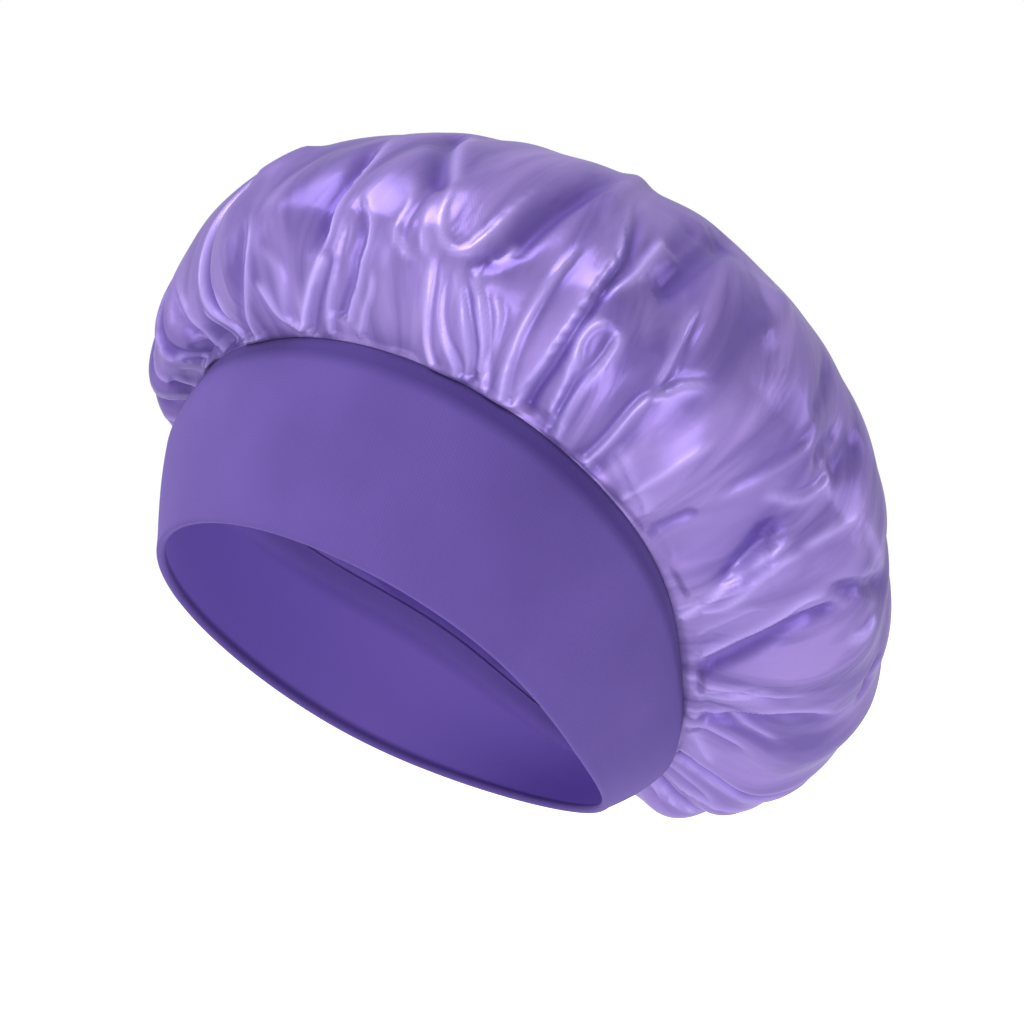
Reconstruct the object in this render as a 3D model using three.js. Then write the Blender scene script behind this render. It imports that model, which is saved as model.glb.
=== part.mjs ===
// A loose satin bonnet, held open as a head holds it.
// Two pieces: a gathered, puffed crown of satin and the wide knit band that the crown is sewn to.
// Lengths are in millimetres and angles in degrees. +Z is up, the face looks along -Y and +X is the wearer's
// left. The origin is the middle of the opening that the head goes into.

import * as THREE from "three";
import { mergeVertices } from "three/addons/utils/BufferGeometryUtils.js";

// The opening at the rim of the band
const OPENING_LENGTH = 180;
const OPENING_WIDTH = 158;
const RIM_DIP = 5;

// The band: its height over the forehead, and how far the seam stands outside the rim
const BAND_HEIGHT = 58;
const BAND_FLARE = 24;
const BAND_BULGE = 2.5;
const BAND_WALL = 2.4;

// The seam: how far the band tucks in under the crown, over what height, and the gap left between the two
const SEAM_TUCK = 1.5;
const TUCK_HEIGHT = 9;
const SEAM_GAP = 0.3;

// The crown: how far it stands out past the seam, how far it rises above the seam and how far it sags below
const CROWN_PUFF = 48;
const CROWN_RISE = 121;
const CROWN_SAG = 8;
const CROWN_WALL = 1.2;

// The folds of the satin: a fold's raised lip is a share of its groove, and lies so many half widths beside it
const FOLD_DEPTH = 8;
const FOLD_BLUNTNESS = 0.7;
const LIP_SHARE = 0.55;
const LIP_OFFSET = 1.5;

// The gathers of the satin: they start past the flat hem and fade out up the crown, both as shares of the way
// up. Slow and quick waves round the head make them uneven in depth and let them drift sideways.
const GATHER_DEPTH = 2.6;
const GATHERS = 30;
const GATHER_START = 0.05;
const GATHER_REACH = 0.16;
const GATHER_UNEVENNESS = 0.3;
const GATHER_DRIFT = 0.4;
const SLOW_WAVES = 3;
const QUICK_WAVES = 7;

// The bonnet leans back on the head by this angle
const LEAN = 35;

// How finely the walls are divided
const COLUMNS = 120;
const CROWN_ROWS = 17;
const BAND_ROWS = 4;
const RIM_STEPS = 3;

// The form goes through eight stations, an eighth of a turn apart, from the middle of the forehead round by the
// wearer's left. rim is a share of the opening's radius there and flare of BAND_FLARE. high is a share of
// BAND_HEIGHT, dip of RIM_DIP, puff of CROWN_PUFF, widest of CROWN_RISE and sag of CROWN_SAG.
const STATIONS = [
  { rim: 0.99, flare: 0.81, high: 0.98, dip: -0.22, puff: 0.58, widest: 0.257, sag: 0.16 },
  { rim: 1.07, flare: 1.01, high: 0.995, dip: 0.2, puff: 0.655, widest: 0.262, sag: -0.54 },
  { rim: 1.0, flare: 0.95, high: 0.85, dip: 0.72, puff: 0.835, widest: 0.345, sag: -0.175 },
  { rim: 0.95, flare: 0.525, high: 0.64, dip: 0.88, puff: 1.03, widest: 0.309, sag: -0.175 },
  { rim: 0.99, flare: 0.73, high: 0.52, dip: -0.16, puff: 1.05, widest: 0.404, sag: 0.55 },
  { rim: 0.95, flare: 0.54, high: 0.82, dip: 0.62, puff: 1.0, widest: 0.312, sag: 0.96 },
  { rim: 1.0, flare: 0.98, high: 0.875, dip: 1.0, puff: 0.73, widest: 0.338, sag: -0.11 },
  { rim: 1.065, flare: 0.99, high: 0.955, dip: 0.3, puff: 0.36, widest: 0.24, sag: -0.25 },
];

// Each row is one fold, as a groove with a raised lip beside it. foot, middle and head are the angles round the
// crown where it starts, passes its middle and ends. from and to are shares of the way from the seam to the
// top. depth is a share of FOLD_DEPTH, width is the groove's half width in degrees, and lip is the side that
// its raised lip is on.
const FOLDS = [
  { foot: 0, middle: 3, head: 1, from: 0.06, to: 0.28, depth: 0.5, width: 3, lip: 1 },
  { foot: 11, middle: 18, head: 15, from: 0.03, to: 0.48, depth: 0.9, width: 3, lip: 1 },
  { foot: 20, middle: 25, head: 23, from: 0.03, to: 0.34, depth: 0.8, width: 2.6, lip: 1 },
  { foot: 36, middle: 32, head: 24, from: 0.28, to: 0.58, depth: 0.7, width: 3.2, lip: 1 },
  { foot: 40, middle: 45, head: 49, from: 0.21, to: 0.64, depth: 1.0, width: 3, lip: -1 },
  { foot: 46, middle: 43, head: 39, from: 0.02, to: 0.24, depth: 0.7, width: 2.6, lip: -1 },
  { foot: 53, middle: 53, head: 53, from: 0.02, to: 0.32, depth: 0.5, width: 2.6, lip: -1 },
  { foot: 59, middle: 58, head: 58, from: 0.03, to: 0.46, depth: 1.0, width: 2.6, lip: -1 },
  { foot: 60, middle: 64, head: 69, from: 0.26, to: 0.66, depth: 0.9, width: 3.2, lip: -1 },
  { foot: 70, middle: 71, head: 70, from: 0.1, to: 0.38, depth: 0.6, width: 2.6, lip: -1 },
  { foot: 84, middle: 88, head: 93, from: 0.02, to: 0.54, depth: 0.5, width: 3.2, lip: 1 },
  { foot: 108, middle: 98, head: 96, from: 0.01, to: 0.2, depth: 0.9, width: 3, lip: 1 },
  { foot: 92, middle: 96, head: 98, from: 0.18, to: 0.44, depth: 0.7, width: 2.6, lip: 1 },
  { foot: 124, middle: 114, head: 125, from: 0.02, to: 0.4, depth: 0.9, width: 3, lip: -1 },
  { foot: 143, middle: 135, head: 142, from: 0.03, to: 0.29, depth: 1.0, width: 3, lip: 1 },
  { foot: 157, middle: 153, head: 158, from: 0.02, to: 0.4, depth: 0.8, width: 3, lip: -1 },
  { foot: 170, middle: 172, head: 168, from: 0.03, to: 0.52, depth: 0.9, width: 3.2, lip: 1 },
  { foot: 187, middle: 185, head: 191, from: 0.02, to: 0.36, depth: 0.8, width: 3, lip: -1 },
  { foot: 203, middle: 205, head: 200, from: 0.03, to: 0.56, depth: 1.0, width: 3.2, lip: 1 },
  { foot: 222, middle: 219, head: 224, from: 0.02, to: 0.34, depth: 0.7, width: 2.8, lip: -1 },
  { foot: 238, middle: 241, head: 236, from: 0.03, to: 0.6, depth: 0.9, width: 3.2, lip: 1 },
  { foot: 256, middle: 253, head: 258, from: 0.02, to: 0.32, depth: 0.8, width: 2.8, lip: -1 },
  { foot: 272, middle: 276, head: 271, from: 0.04, to: 0.52, depth: 0.7, width: 3, lip: 1 },
  { foot: 291, middle: 288, head: 295, from: 0.02, to: 0.4, depth: 0.8, width: 3, lip: -1 },
  { foot: 307, middle: 310, head: 306, from: 0.03, to: 0.5, depth: 0.6, width: 3, lip: 1 },
  { foot: 324, middle: 321, head: 326, from: 0.02, to: 0.34, depth: 0.7, width: 2.8, lip: -1 },
  { foot: 340, middle: 344, head: 339, from: 0.03, to: 0.54, depth: 0.7, width: 3, lip: 1 },
];

// The crown's section goes from the seam out along its underside, up to its widest ring and over to the top.
// UNDERSIDE_END and WIDEST_AT are where the underside ends and the widest ring lies, as shares of the way up.
const UNDERSIDE_END = 0.09;
const WIDEST_AT = 0.26;
const UNDERSIDE_REACH = 0.5;
const DOME_FULLNESS = 1.074;
const ROW_CROWDING = 1.4;

const FULL_TURN = 2 * Math.PI;
const QUARTER_TURN = Math.PI / 2;
const ONE_DEGREE = Math.PI / 180;
const SMALL_STEP = 1e-4;

// A smooth ring of values through one column of the stations: the sum of waves that meets every station.
function around(column) {
  const values = STATIONS.map((station) => station[column]);
  const count = values.length;
  const waves = [];
  for (let order = 0; order <= count / 2; order += 1) {
    const share = order === 0 || order === count / 2 ? 1 / count : 2 / count;
    let even = 0;
    let odd = 0;
    values.forEach((value, index) => {
      even += share * value * Math.cos(order * index * (FULL_TURN / count));
      odd += share * value * Math.sin(order * index * (FULL_TURN / count));
    });
    waves.push({ order, even, odd: order === count / 2 ? 0 : odd });
  }
  return (turn) => {
    let sum = 0;
    for (const { order, even, odd } of waves) {
      sum += even * Math.cos(order * turn) + odd * Math.sin(order * turn);
    }
    return sum;
  };
}

const rimShare = around("rim");
const flareShare = around("flare");
const highShare = around("high");
const dipShare = around("dip");
const puffShare = around("puff");
const widestShare = around("widest");
const sagShare = around("sag");

function clamp01(value) {
  return Math.min(1, Math.max(0, value));
}

// The rim is an oval, and the seam stands outside it by the flare and above it by the band's height.
function rimRadius(turn) {
  const across = Math.sin(turn) / (OPENING_WIDTH / 2);
  const along = Math.cos(turn) / (OPENING_LENGTH / 2);
  return rimShare(turn) / Math.hypot(across, along);
}

function rimHeight(turn) {
  return -RIM_DIP * dipShare(turn);
}

function seamRadius(turn) {
  return rimRadius(turn) + BAND_FLARE * flareShare(turn);
}

function seamHeight(turn) {
  return BAND_HEIGHT * highShare(turn);
}

// The crown's smooth section at one angle: how far out and how high it is at a share of the way up.
function crownSection(turn, up) {
  const start = seamRadius(turn);
  const base = seamHeight(turn) + SEAM_GAP;
  const widest = start + CROWN_PUFF * puffShare(turn);
  const widestHeight = base + CROWN_RISE * widestShare(turn);
  const underEnd = start + (widest - start) * UNDERSIDE_REACH;
  const underHeight = base - CROWN_SAG * sagShare(turn);
  const top = BAND_HEIGHT + SEAM_GAP + CROWN_RISE;
  if (up < UNDERSIDE_END) {
    const share = up / UNDERSIDE_END;
    const turnDown = Math.sin(QUARTER_TURN * share) ** 2;
    return [start + (underEnd - start) * share, base + (underHeight - base) * turnDown];
  }
  if (up < WIDEST_AT) {
    const angle = (QUARTER_TURN * (up - UNDERSIDE_END)) / (WIDEST_AT - UNDERSIDE_END);
    const out = underEnd + (widest - underEnd) * Math.sin(angle);
    return [out, widestHeight - (widestHeight - underHeight) * Math.cos(angle)];
  }
  const angle = (QUARTER_TURN * (up - WIDEST_AT)) / (1 - WIDEST_AT);
  const out = widest * Math.max(0, Math.cos(angle)) ** DOME_FULLNESS;
  return [out, widestHeight + (top - widestHeight) * Math.sin(angle) ** DOME_FULLNESS];
}

function ringPoint(turn, radius, height) {
  return new THREE.Vector3(radius * Math.sin(turn), -radius * Math.cos(turn), height);
}

function smoothCrownPoint(turn, up) {
  const [radius, height] = crownSection(turn, up);
  return ringPoint(turn, radius, height);
}

// The direction that faces out of a surface, from small steps round it and up it.
function facing(surface, turn, up) {
  const low = Math.max(0, up - SMALL_STEP);
  const high = Math.min(1, up + SMALL_STEP);
  const aroundIt = surface(turn + SMALL_STEP, up).sub(surface(turn - SMALL_STEP, up));
  const upIt = surface(turn, high).sub(surface(turn, low));
  return aroundIt.cross(upIt).normalize();
}

// The signed angle between two angles, in degrees, from -180 to 180.
function degreesBetween(angle, other) {
  return ((((angle - other) % 360) + 540) % 360) - 180;
}

// One fold: a groove that follows a curve through its foot, middle and head, and fades out at both ends.
function foldDepthAt(fold, degrees, up) {
  const share = (up - fold.from) / (fold.to - fold.from);
  if (share <= 0 || share >= 1) {
    return 0;
  }
  const bow = fold.middle - (fold.foot + fold.head) / 2;
  const bowShare = 4 * share * (1 - share);
  const path = fold.foot + (fold.head - fold.foot) * share + bow * bowShare;
  const away = degreesBetween(degrees, path) / fold.width;
  const fade = Math.sin(Math.PI * share) ** FOLD_BLUNTNESS;
  const groove = -Math.exp(-(away ** 2));
  const lip = LIP_SHARE * Math.exp(-((away - LIP_OFFSET * fold.lip) ** 2));
  return fold.depth * FOLD_DEPTH * fade * (groove + lip);
}

// The gathers are small pleats of uneven depth that start past the flat hem and fade out up the crown.
function gatherHeightAt(turn, up) {
  const rise = clamp01(up / GATHER_START);
  const fall = Math.exp(-(((up - GATHER_START) / GATHER_REACH) ** 2));
  const uneven = 1 - GATHER_UNEVENNESS * (1 - Math.sin(QUICK_WAVES * turn + 1) * Math.sin(SLOW_WAVES * turn));
  const drift = GATHER_DRIFT * (Math.sin(SLOW_WAVES * turn) + Math.sin(QUICK_WAVES * turn));
  return GATHER_DEPTH * rise * fall * uneven * Math.sin(GATHERS * turn + drift);
}

function crownPoint(turn, up) {
  const point = smoothCrownPoint(turn, up);
  const degrees = turn / ONE_DEGREE;
  let lift = gatherHeightAt(turn, up);
  for (const fold of FOLDS) {
    lift += foldDepthAt(fold, degrees, up);
  }
  return lift === 0 ? point : point.addScaledVector(facing(smoothCrownPoint, turn, up), lift);
}

// The band's outer face at a share of the way from the rim to the seam.
function bandSection(turn, up) {
  const height = seamHeight(turn) - rimHeight(turn);
  const tuckStart = 1 - TUCK_HEIGHT / (height + TUCK_HEIGHT);
  const tuck = SEAM_TUCK * clamp01((up - tuckStart) / (1 - tuckStart)) ** 2;
  const straight = rimRadius(turn) + (seamRadius(turn) - rimRadius(turn)) * up;
  return [straight + BAND_BULGE * Math.sin(Math.PI * up) - tuck, rimHeight(turn) + height * up];
}

// A closed body from rings of points that all have the same number of columns.
// When closed, the last ring joins the first; otherwise both ends narrow to one point.
function bodyFromRings(rings, closed) {
  const corners = [];
  const pushTriangle = (a, b, c) => corners.push(a.x, a.y, a.z, b.x, b.y, b.z, c.x, c.y, c.z);
  const steps = closed ? rings.length : rings.length - 1;
  for (let index = 0; index < steps; index += 1) {
    const ring = rings[index];
    const next = rings[(index + 1) % rings.length];
    for (let column = 0; column < COLUMNS; column += 1) {
      const beside = (column + 1) % COLUMNS;
      if (ring.length > 1) {
        pushTriangle(ring[column], ring[beside], next[next.length > 1 ? beside : 0]);
      }
      if (next.length > 1) {
        pushTriangle(ring[ring.length > 1 ? column : 0], next[beside], next[column]);
      }
    }
  }
  const loose = new THREE.BufferGeometry();
  loose.setAttribute("position", new THREE.Float32BufferAttribute(corners, 3));
  const geometry = mergeVertices(loose);
  geometry.computeVertexNormals();
  return geometry;
}

function ringOf(pointAt) {
  return Array.from({ length: COLUMNS }, (_, column) => pointAt((column * FULL_TURN) / COLUMNS));
}

// The crown: its outer face from the hem to the top, and its inner face back down to the hem.
function makeCrown() {
  const hemRadius = (turn) => seamRadius(turn) - SEAM_TUCK - BAND_WALL;
  const hemHeight = (turn) => seamHeight(turn) + SEAM_GAP;
  const ups = Array.from({ length: CROWN_ROWS }, (_, row) => (row / CROWN_ROWS) ** ROW_CROWDING);
  const outer = ups.map((up) => ringOf((turn) => crownPoint(turn, up)));
  const inner = ups.map((up) =>
    ringOf((turn) => crownPoint(turn, up).addScaledVector(facing(crownPoint, turn, up), -CROWN_WALL)),
  );
  const top = crownPoint(0, 1);
  const underTop = top.clone().setZ(top.z - CROWN_WALL);
  const hem = ringOf((turn) => ringPoint(turn, hemRadius(turn), hemHeight(turn)));
  const hemInside = ringOf((turn) => ringPoint(turn, hemRadius(turn), hemHeight(turn) + CROWN_WALL));
  const rings = [[underTop], ...inner.reverse(), hemInside, hem, ...outer, [top]];
  return bodyFromRings(rings, false);
}

// The band: up its outer face, back down its inner face and round the fold at the rim.
function makeBand() {
  const ups = Array.from({ length: BAND_ROWS + 1 }, (_, row) => row / BAND_ROWS);
  const leanOut = (turn) => {
    const run = seamRadius(turn) - rimRadius(turn);
    const rise = seamHeight(turn) - rimHeight(turn);
    return new THREE.Vector2(rise, -run).normalize();
  };
  const outer = ups.map((up) => ringOf((turn) => ringPoint(turn, ...bandSection(turn, up))));
  const inner = ups.map((up) =>
    ringOf((turn) => {
      const [radius, height] = bandSection(turn, up);
      const out = leanOut(turn);
      const level = up === 1 ? 0 : out.y;
      return ringPoint(turn, radius - BAND_WALL * out.x, height - BAND_WALL * level);
    }),
  );
  const fold = Array.from({ length: RIM_STEPS }, (_, step) => {
    const angle = (Math.PI * (step + 1)) / (RIM_STEPS + 1);
    return ringOf((turn) => {
      const [radius, height] = bandSection(turn, 0);
      const out = leanOut(turn);
      const inward = (BAND_WALL / 2) * (1 + Math.cos(angle));
      const below = (BAND_WALL / 2) * Math.sin(angle);
      return ringPoint(turn, radius - inward * out.x + below * out.y, height - inward * out.y - below * out.x);
    });
  });
  return bodyFromRings([...outer, ...inner.reverse(), ...fold], true);
}

const satin = new THREE.MeshStandardMaterial({ color: "#9a88ce", roughness: 0.32, metalness: 0 });
const knit = new THREE.MeshStandardMaterial({ color: "#6852a4", roughness: 0.8, metalness: 0 });

const crown = new THREE.Mesh(makeCrown(), satin);
crown.name = "crown";

const band = new THREE.Mesh(makeBand(), knit);
band.name = "band";

const bonnet = new THREE.Group();
bonnet.add(crown, band);
bonnet.rotation.x = -LEAN * ONE_DEGREE;

export default bonnet;
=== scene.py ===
# %% [markdown]
# # A satin bonnet
#
# This file builds the looks of a sleeping bonnet in Blender: a puffed crown of lilac satin, gathered and
# sewn to a wide band of violet stretch knit. The bonnet is held open and leans back, as it does on a head.
# The first cell loads the measured model of the bonnet. Everything below is made in that model's frame:
# metres, +Z up, the face looking along -Y, and the origin in the middle of the opening for the head.

# %% Load the frame
import math

import bmesh
import bpy
import numpy as np
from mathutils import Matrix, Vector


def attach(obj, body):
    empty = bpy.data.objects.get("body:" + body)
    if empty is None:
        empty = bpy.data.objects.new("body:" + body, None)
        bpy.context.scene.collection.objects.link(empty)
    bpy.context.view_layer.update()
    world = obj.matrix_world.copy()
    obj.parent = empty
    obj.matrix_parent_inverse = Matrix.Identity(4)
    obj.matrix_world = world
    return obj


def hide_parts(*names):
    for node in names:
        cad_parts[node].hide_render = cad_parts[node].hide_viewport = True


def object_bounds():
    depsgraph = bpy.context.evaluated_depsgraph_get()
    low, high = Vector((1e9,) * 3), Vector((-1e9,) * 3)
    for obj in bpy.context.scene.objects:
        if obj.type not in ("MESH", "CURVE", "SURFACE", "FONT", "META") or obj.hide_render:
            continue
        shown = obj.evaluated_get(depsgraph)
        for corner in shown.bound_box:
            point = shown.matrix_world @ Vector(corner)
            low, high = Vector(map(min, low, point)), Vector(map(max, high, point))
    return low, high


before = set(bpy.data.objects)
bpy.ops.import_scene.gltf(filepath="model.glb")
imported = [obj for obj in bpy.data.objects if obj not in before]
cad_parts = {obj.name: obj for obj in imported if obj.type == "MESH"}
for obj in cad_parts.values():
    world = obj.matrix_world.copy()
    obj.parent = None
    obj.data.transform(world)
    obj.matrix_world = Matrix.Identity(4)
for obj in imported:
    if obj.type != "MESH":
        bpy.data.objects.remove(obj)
cad_low, cad_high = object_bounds()
print("model box, mm:", [round(1000 * (high - low)) for low, high in zip(cad_low, cad_high)])

MM = 0.001
TURN = 2 * math.pi


def deselect_all():
    """Nothing stays selected, so an operator acts only on what comes next."""
    bpy.ops.object.select_all(action="DESELECT")


deselect_all()

# %% [markdown]
# ## The camera
#
# The photograph looks at the bonnet from the wearer's front left, level with it, so the far rim shows under
# the near one. A long lens keeps the oval of the opening flat. The camera could be aimed by a constraint,
# but it is placed by its own three axes here, because a level camera needs no tilt at all.

# %% Place the camera
CAMERA_AZIMUTH = math.radians(52.2)
CAMERA_DISTANCE = 0.946
CAMERA_LENS = 99.6
CAMERA_SIDE = 39.3 * MM
CAMERA_HEIGHT = 53.7 * MM

towards_camera = np.array([math.sin(CAMERA_AZIMUTH), -math.cos(CAMERA_AZIMUTH), 0.0])
to_the_right = np.array([math.cos(CAMERA_AZIMUTH), math.sin(CAMERA_AZIMUTH), 0.0])
camera_place = towards_camera * CAMERA_DISTANCE + to_the_right * CAMERA_SIDE + np.array([0, 0, CAMERA_HEIGHT])

deselect_all()
bpy.ops.object.camera_add(location=camera_place, rotation=(math.pi / 2, 0, CAMERA_AZIMUTH))
camera = bpy.context.object
camera.data.lens = CAMERA_LENS
camera.data.sensor_width = 36
bpy.context.scene.camera = camera
print("camera at, mm:", [round(1000 * value) for value in camera_place])

# %% [markdown]
# ## Light and floor
#
# Satin shows its form by broad, soft reflections. Small lamps would put hard dots on every fold, so the
# light comes from four soft panels and a bright room around them: a strong panel above, a little to the
# left, a weak one on each side, and a small one low in front, which lights the band. The bonnet is held up,
# so the floor is well below it. The room and the floor show white to the camera, but they light the bonnet
# less than white would, or the folds would lose their shade.

# %% Light the room
ROOM_LIGHT = 0.55
BACKDROP_LIGHT = 1.0
FLOOR_DROP = 0.36
FLOOR_WIDTH = 24.0
FLOOR_GLOW = 0.55
BONNET_MIDDLE = np.array([0.0, 0.05, 0.06])

world = bpy.data.worlds.new("white_room")
bpy.context.scene.world = world
world.use_nodes = True
world_nodes = world.node_tree.nodes
background = world_nodes["Background"]
background.inputs["Color"].default_value = (1, 1, 1, 1)


def white_where_seen(tree, glow, seen_glow, socket):
    """Gives a socket one strength as a light on other things, and another where the camera looks at it."""
    path = tree.nodes.new("ShaderNodeLightPath")
    strength = tree.nodes.new("ShaderNodeMapRange")
    strength.inputs["To Min"].default_value = glow
    strength.inputs["To Max"].default_value = seen_glow
    tree.links.new(path.outputs["Is Camera Ray"], strength.inputs["Value"])
    tree.links.new(strength.outputs["Result"], socket)


white_where_seen(world.node_tree, ROOM_LIGHT, BACKDROP_LIGHT, background.inputs["Strength"])
bpy.context.scene.view_settings.view_transform = "Standard"


def add_panel(name, side, height, depth, size, power):
    """A square soft panel that faces the bonnet. Its place is in metres from it, as the camera sees it."""
    place = BONNET_MIDDLE + to_the_right * side + towards_camera * depth + np.array([0, 0, height])
    away = place - BONNET_MIDDLE
    turn = math.atan2(away[1], away[0]) + math.pi / 2
    lean = math.acos(away[2] / np.linalg.norm(away))
    bpy.ops.object.light_add(type="AREA", location=place, rotation=(lean, 0, turn))
    panel = bpy.context.object
    panel.name = name
    panel.data.size = size
    panel.data.energy = power
    return panel


add_panel("panel_above", side=-0.6, height=1.5, depth=0.55, size=1.3, power=31)
add_panel("panel_right", side=1.5, height=0.15, depth=-0.1, size=0.8, power=5.5)
add_panel("panel_left", side=-1.5, height=0.2, depth=0.0, size=0.6, power=2.5)
add_panel("panel_low", side=-0.12, height=-0.36, depth=0.55, size=0.4, power=1.95)

# %% [markdown]
# ## Nodes and colours
#
# A colour picked from a screen is an sRGB value, and a shader works in linear light. One function turns the
# first into the second. A second function adds any kind of node, sets it and links it, so that a material
# reads as a list of steps.

# %% Helpers for materials
def linear(code):
    """An sRGB hex colour as linear red, green, blue and alpha."""
    values = [int(code[index:index + 2], 16) / 255 for index in (1, 3, 5)]
    return [v / 12.92 if v <= 0.04045 else ((v + 0.055) / 1.055) ** 2.4 for v in values] + [1.0]


def add_node(material, kind, settings=None, **inputs):
    """Adds one node. A value sets the socket of that name, and n0 or n1 is the socket of that number. A
    socket of another node is linked."""
    node = material.node_tree.nodes.new(kind)
    for key, value in (settings or {}).items():
        setattr(node, key, value)
    for key, value in inputs.items():
        name = key.replace("_", " ")
        socket = node.inputs[int(key[1:])] if key[0] == "n" and key[1:].isdigit() else node.inputs[name]
        if isinstance(value, bpy.types.NodeSocket):
            material.node_tree.links.new(value, socket)
        else:
            socket.default_value = value
    return node


def new_material(name):
    """An empty node material with a Principled shader, and that shader."""
    material = bpy.data.materials.new(name)
    material.use_nodes = True
    return material, material.node_tree.nodes["Principled BSDF"]


def wave_scale(spacing):
    """The Scale of a Wave Texture whose bands lie this far apart, in the unit of its coordinates."""
    return TURN / 20 / spacing


print("lilac in linear light:", [round(v, 3) for v in linear("#9a88ce")])

# %% Floor
deselect_all()
bpy.ops.mesh.primitive_plane_add(size=FLOOR_WIDTH, location=(0, 0, cad_low[2] - FLOOR_DROP))
floor = bpy.context.object
floor.name = "floor"
floor_paint, floor_shader = new_material("matt_white_paint")
floor_shader.inputs["Base Color"].default_value = linear("#c0c0c0")
floor_shader.inputs["Roughness"].default_value = 0.9
floor_shader.inputs["Emission Color"].default_value = (1, 1, 1, 1)
white_where_seen(floor_paint.node_tree, FLOOR_GLOW, BACKDROP_LIGHT, floor_shader.inputs["Emission Strength"])
floor.data.materials.append(floor_paint)

# %% [markdown]
# ## The form of the bonnet
#
# A bonnet has no flat pattern that could be drawn from the side, so its form is given as sections. Eight
# stations stand round the opening, an eighth of a turn apart, from the middle of the forehead round by the
# wearer's left. A sum of waves that meets all eight gives a smooth ring for each measure, with no kink
# where the ring closes. The stations and most lengths are the ones that the measured model was made from.

# %% Named sizes
OPENING_LENGTH = 180 * MM
OPENING_WIDTH = 158 * MM
RIM_DIP = 5 * MM
BAND_HEIGHT = 58 * MM
BAND_FLARE = 24 * MM
BAND_BULGE = 2.5 * MM
BAND_WALL = 2.4 * MM
SEAM_GAP = 0.3 * MM
SHOULDER_TUCK = 3.5 * MM
SHOULDER_HEIGHT = 8 * MM
CROWN_PUFF = 48 * MM
CROWN_RISE = 121 * MM
CROWN_SAG = 8 * MM
LEAN = math.radians(35)

STATIONS = {
    # front, left temple, left, behind the left ear, nape, behind the right ear, right, right temple
    "rim": [0.99, 1.07, 1.0, 0.95, 0.99, 0.95, 1.0, 1.065],
    "flare": [0.81, 1.01, 0.95, 0.525, 0.73, 0.54, 0.98, 0.99],
    "high": [0.98, 0.995, 0.85, 0.64, 0.52, 0.82, 0.875, 0.955],
    "dip": [-0.22, 0.2, 0.72, 0.88, -0.16, 0.62, 1.0, 0.3],
    "puff": [0.58, 0.655, 0.835, 1.03, 1.05, 1.0, 0.73, 0.36],
    "widest": [0.257, 0.262, 0.345, 0.309, 0.404, 0.312, 0.338, 0.24],
    "sag": [0.16, -0.54, -0.175, -0.175, 0.55, 0.96, -0.11, -0.25],
}


def around(column):
    """A smooth function of the angle that meets every station of one column."""
    values = np.array(STATIONS[column])
    count = len(values)
    angles = np.arange(count) * TURN / count

    def ring(turn):
        total = np.full_like(turn, values.mean())
        for order in range(1, count // 2):
            even = 2 / count * (values * np.cos(order * angles)).sum()
            odd = 2 / count * (values * np.sin(order * angles)).sum()
            total = total + even * np.cos(order * turn) + odd * np.sin(order * turn)
        order = count // 2
        return total + (values * np.cos(order * angles)).sum() / count * np.cos(order * turn)

    return ring


share = {column: around(column) for column in STATIONS}
print("puff at the front, as a share:", round(float(share["puff"](np.array(0.0))), 3))

# %% [markdown]
# ## The rim and the seam
#
# The seam is where the form is most alive. Stitching draws the band in there, most at the wearer's right
# temple, and over the forehead it stands a little higher. These small measures are only here, and not in
# the measured model.

# %% The rim and the seam
TEMPLE_AT = math.radians(-38)
TEMPLE_REACH = math.radians(36)
TEMPLE_TUCK = 2.2 * MM
SEAM_LIFT = 3.4 * MM
LIFTED_AT = math.radians(6)
LIFTED_REACH = math.radians(34)


def rim_radius(turn):
    """The oval of the opening."""
    oval = np.hypot(np.sin(turn) / (OPENING_WIDTH / 2), np.cos(turn) / (OPENING_LENGTH / 2))
    return share["rim"](turn) / oval


def rim_height(turn):
    """The height of the rim, which dips at the sides."""
    return -RIM_DIP * share["dip"](turn)


def seam_radius(turn):
    """The band's line carried up to the seam, before the stitching draws it in."""
    return rim_radius(turn) + BAND_FLARE * share["flare"](turn)


def near_angle(turn, middle, reach, power=2):
    """1 at one angle round the head, fading to 0 away from it. A higher power keeps it near 1 for longer."""
    away = (turn - middle + math.pi) % TURN - math.pi
    return np.exp(-((away / reach) ** power))


def seam_lift(turn):
    """How much higher the seam stands over the forehead than the stations put it."""
    return SEAM_LIFT * near_angle(turn, LIFTED_AT, LIFTED_REACH)


def seam_height(turn):
    """The height of the seam over the middle of the rim."""
    return BAND_HEIGHT * share["high"](turn) + seam_lift(turn)


def ring_points(turn, radius, height):
    """Points round the head, in the bonnet's own frame, before it leans back."""
    return np.stack([radius * np.sin(turn), -radius * np.cos(turn), height], -1)


def lean_back(points):
    """The bonnet's own frame turned back about X, into the frame of the upright head."""
    across, along, high = points[..., 0], points[..., 1], points[..., 2]
    cosine, sine = math.cos(LEAN), math.sin(LEAN)
    return np.stack([across, along * cosine + high * sine, high * cosine - along * sine], -1)


def at_right_temple(turn):
    """1 at the wearer's right temple, where the band is pulled in most, fading to 0 round the head."""
    return near_angle(turn, TEMPLE_AT, TEMPLE_REACH)


def tucked_in(turn):
    """How far the seam lies inside the line of the band."""
    return SHOULDER_TUCK + TEMPLE_TUCK * at_right_temple(turn)


print("seam at the forehead, mm:", round(float(seam_height(np.array(0.0))) * 1000, 1))

# %% [markdown]
# ## The section of the crown
#
# From the seam the crown puffs out as a rounded underside, then bends round its widest ring and closes as a
# dome. From the forehead round to behind the left ear the cloth leaves the seam at a steep slant instead, so
# a slanted section is blended in there.

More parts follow.
